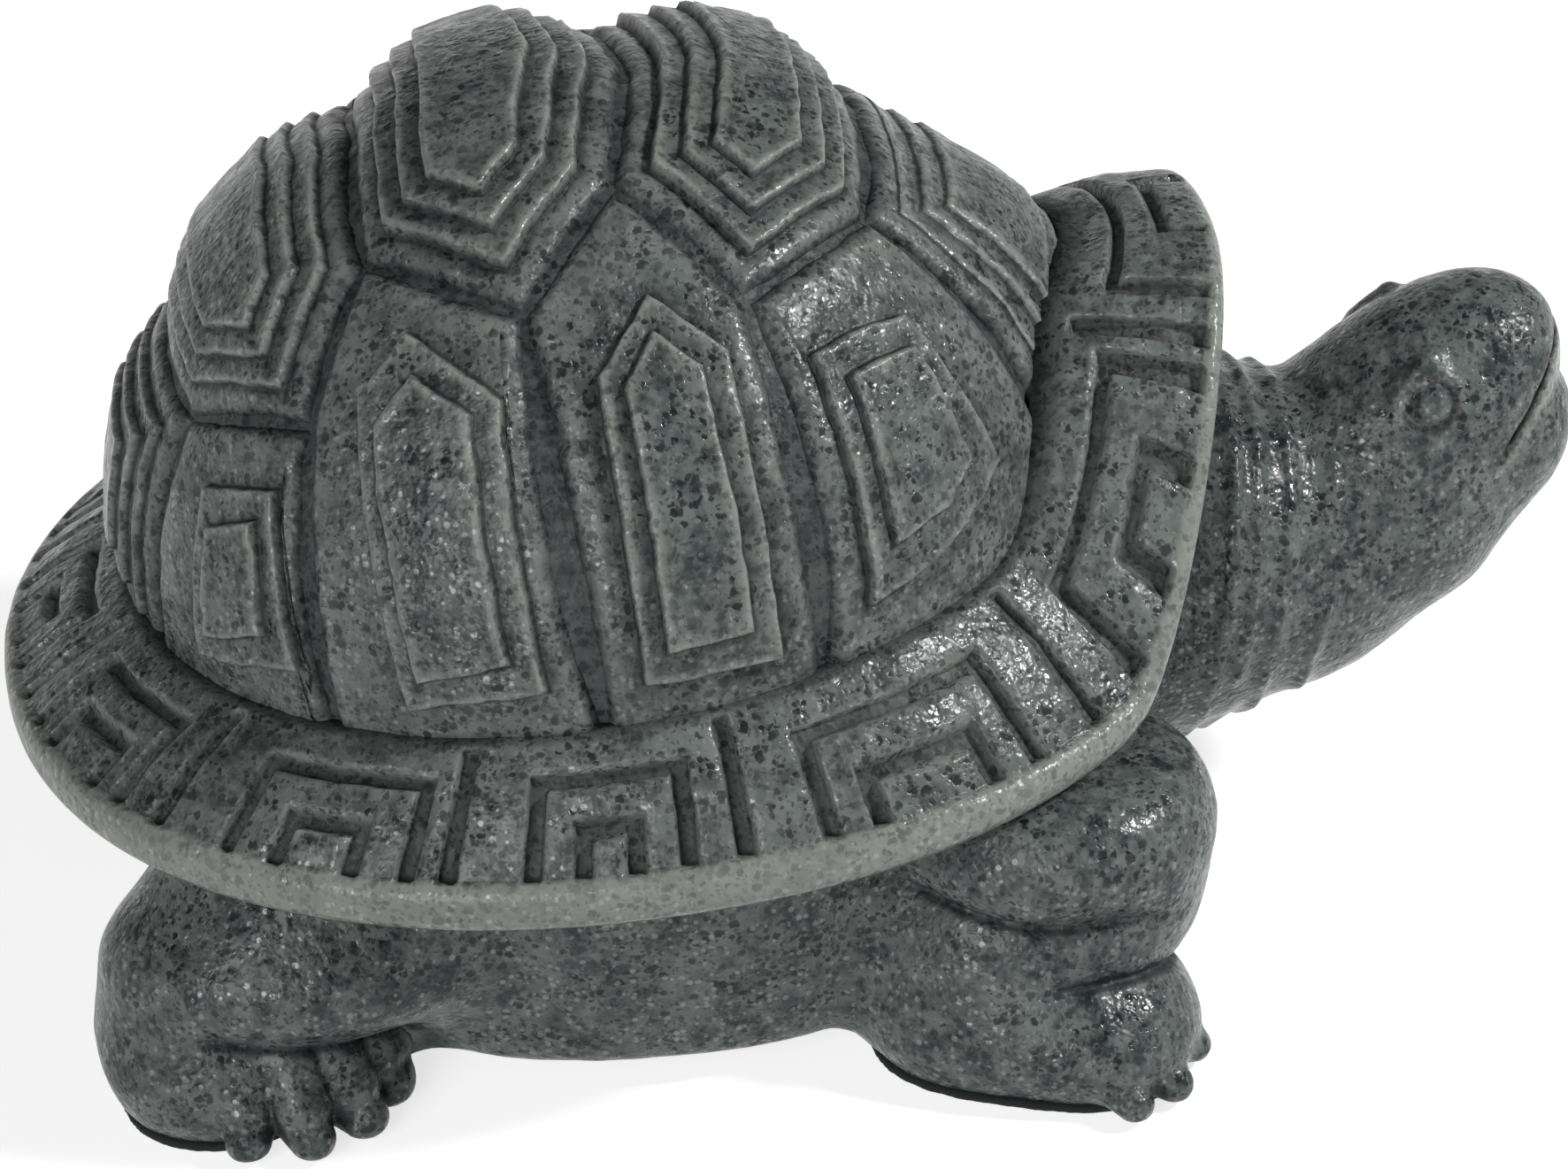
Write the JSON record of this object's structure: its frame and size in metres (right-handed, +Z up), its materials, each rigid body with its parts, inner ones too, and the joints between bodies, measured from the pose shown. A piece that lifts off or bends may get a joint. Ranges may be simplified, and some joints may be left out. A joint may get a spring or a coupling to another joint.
{
  "type": "turtle figurine",
  "caption": "Stone-look turtle ornament with a stepped scute shell, a flared carved rim with a hood over the neck, a raised head and padded feet; stands on a shelf.",
  "frame": {"origin": "on the table, under the middle of the whole ornament's box", "axes": "+X towards the head, +Y to the turtle's left, +Z up"},
  "size_m": [0.1254, 0.0872, 0.07],
  "materials": {
    "granite_resin": "speckled grey-green cast stone, semi-gloss, with worn pale edges",
    "foot_pad": "dark felt"
  },
  "bodies": {
    "root": {"carapace_dome": "granite_resin", "front_left_leg": "granite_resin", "front_left_pad": "foot_pad", "front_right_leg": "granite_resin", "front_right_pad": "foot_pad", "head_neck": "granite_resin", "marginal_rim": "granite_resin", "rear_left_leg": "granite_resin", "rear_left_pad": "foot_pad", "rear_right_leg": "granite_resin", "rear_right_pad": "foot_pad", "tail": "granite_resin", "torso": "granite_resin"}
  },
  "joints": []
}
